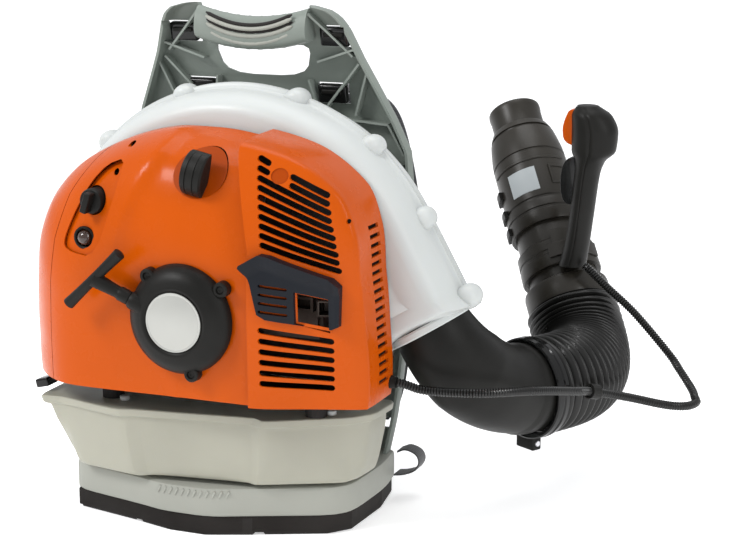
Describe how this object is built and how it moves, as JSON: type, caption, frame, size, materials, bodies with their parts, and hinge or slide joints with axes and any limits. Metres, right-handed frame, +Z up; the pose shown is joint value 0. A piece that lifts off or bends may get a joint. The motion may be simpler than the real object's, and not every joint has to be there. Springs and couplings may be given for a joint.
{
  "type": "backpack leaf blower",
  "caption": "Engine-driven backpack leaf blower: grey carrier with harness, scroll fan housing, orange engine covers, tank, elbow, pleated hose and blower tube with control handle.",
  "frame": {"origin": "on the floor, at the middle of the centre foot under the carrier", "axes": "+Z up, +X to the outlet side, -Y to the starter side, +Y to the operator's back"},
  "size_m": [0.6353, 0.5955, 0.513],
  "materials": {
    "orange_shell": "smooth gloss",
    "white_shell": "satin gloss",
    "grey_carrier": "fine moulded grain",
    "tank_plastic": "translucent satin",
    "black_plastic": "moulded satin",
    "hose_rubber": "satin",
    "guard_plastic": "fine grain",
    "sole_rubber": "matte",
    "badge": "satin",
    "primer_clear": "smoky gloss",
    "harness_fabric": "woven",
    "steel": "machined",
    "alloy": "cast",
    "rope": "braided",
    "cable_conduit": "corrugated",
    "filter_foam": "open cell"
  },
  "bodies": {
    "root": {"air_filter": "filter_foam", "back_pad": "harness_fabric", "back_plate": "grey_carrier", "bottom_pan": "black_plastic", "cable_clip": "black_plastic", "cable_gland": "black_plastic", "carburettor": "alloy", "centre_foot": "sole_rubber", "crankcase": "alloy", "cylinder": "alloy", "engine_shroud": "orange_shell", "exhaust_guard": "guard_plastic", "fan_housing_front": "white_shell", "fan_housing_rear": "white_shell", "front_cover": "orange_shell", "front_sole": "sole_rubber", "fuel_tank": "tank_plastic", "hose_clamp": "black_plastic", "inlet_screen": "black_plastic", "intake_manifold": "hose_rubber", "isolator_front_left": "sole_rubber", "isolator_front_right": "sole_rubber", "left_sole": "sole_rubber", "muffler": "alloy", "outlet_elbow": "black_plastic", "recoil_spring": "steel", "right_sole": "sole_rubber", "shoulder_strap_left": "harness_fabric", "shoulder_strap_right": "harness_fabric", "side_cover": "orange_shell", "spark_plug": "steel", "starter_badge": "badge", "starter_cover": "black_plastic", "starter_rope": "rope", "throttle_cable_lower": "cable_conduit", "valve_cover": "black_plastic", "webbing_loop": "harness_fabric"},
    "rotor": {"fan_impeller": "black_plastic", "flywheel": "alloy", "crankshaft_front": "steel", "crankshaft_rear": "steel"},
    "piston_group": {"piston": "alloy", "wrist_pin": "steel", "connecting_rod": "steel", "crankpin": "steel"},
    "starter_handle": {"starter_grip": "black_plastic"},
    "starter_reel": {"starter_pulley": "black_plastic"},
    "choke": {"choke_knob": "black_plastic"},
    "primer": {"primer_bulb": "primer_clear"},
    "filter_lock": {"cover_knob": "black_plastic"},
    "tank_cap": {"fuel_cap": "black_plastic"},
    "hose_swivel": {"hose_lower": "hose_rubber"},
    "tube": {"hose_upper": "hose_rubber", "blower_tube": "black_plastic", "tube_sleeve": "black_plastic", "handle_collar": "black_plastic", "control_handle": "black_plastic", "throttle_cable_upper": "cable_conduit"},
    "trigger": {"throttle_trigger": "black_plastic"},
    "hold_lever": {"setting_lever": "orange_shell"}
  },
  "joints": [
    {"name": "rotor_spin", "type": "hinge", "parent": "root", "child": "rotor", "pos_m": [0.01, 0, 0.228], "axis": [0, 1, 0], "continuous": true},
    {"name": "piston_stroke", "type": "slide", "parent": "root", "child": "piston_group", "axis": [0, 0, 1], "range_m": [-0.032, 0]},
    {"name": "starter_pull", "type": "slide", "parent": "root", "child": "starter_handle", "axis": [-0.8666, -0.1981, 0.458], "range_m": [0, 0.6], "stiffness_N_per_m": 8, "springref_m": -0.3, "deforming": ["starter_rope"]},
    {"name": "starter_reel_spin", "type": "hinge", "parent": "root", "child": "starter_reel", "pos_m": [0.01, 0, 0.228], "axis": [0, 1, 0], "range_deg": [-965, 0]},
    {"name": "choke_turn", "type": "hinge", "parent": "root", "child": "choke", "pos_m": [-0.0915, -0.132, 0.333], "axis": [0, -1, 0], "range_deg": [0, 60]},
    {"name": "primer_press", "type": "slide", "parent": "root", "child": "primer", "axis": [0, 1, 0], "range_m": [0, 0.004], "stiffness_N_per_m": 300, "springref_m": -0.002},
    {"name": "filter_lock_turn", "type": "hinge", "parent": "root", "child": "filter_lock", "pos_m": [0.022, -0.134, 0.366], "axis": [0, -1, 0], "range_deg": [0, 90]},
    {"name": "tank_cap_turn", "type": "hinge", "parent": "root", "child": "tank_cap", "pos_m": [-0.1772, -0.025, 0.1055], "axis": [-0.9714, 0, 0.2375], "range_deg": [0, 270]},
    {"name": "hose_yaw", "type": "hinge", "parent": "root", "child": "hose_swivel", "pos_m": [0.30555, 0.1639, 0.12094], "axis": [0, 0, 1], "range_deg": [-25, 20], "deforming": ["hose_lower", "throttle_cable_lower"]},
    {"name": "hose_pitch", "type": "hinge", "parent": "hose_swivel", "child": "tube", "pos_m": [0.30007, 0.23869, 0.13669], "axis": [0.7605, 0.6493, 0], "range_deg": [-18, 15], "deforming": ["hose_upper", "throttle_cable_upper"]},
    {"name": "trigger_squeeze", "type": "hinge", "parent": "tube", "child": "trigger", "pos_m": [0.2855, 0.247, 0.3415], "axis": [0, -1, 0], "range_deg": [0, 12], "stiffness_Nm_per_rad": 0.3, "springref_deg": -8.59},
    {"name": "hold_lever_rock", "type": "hinge", "parent": "tube", "child": "hold_lever", "pos_m": [0.283, 0.246, 0.372], "axis": [0, -1, 0], "range_deg": [-8, 8]}
  ],
  "couplings": [
    {"joint": "starter_reel_spin", "follows": "starter_pull", "rad_per_m": -27.9}
  ]
}
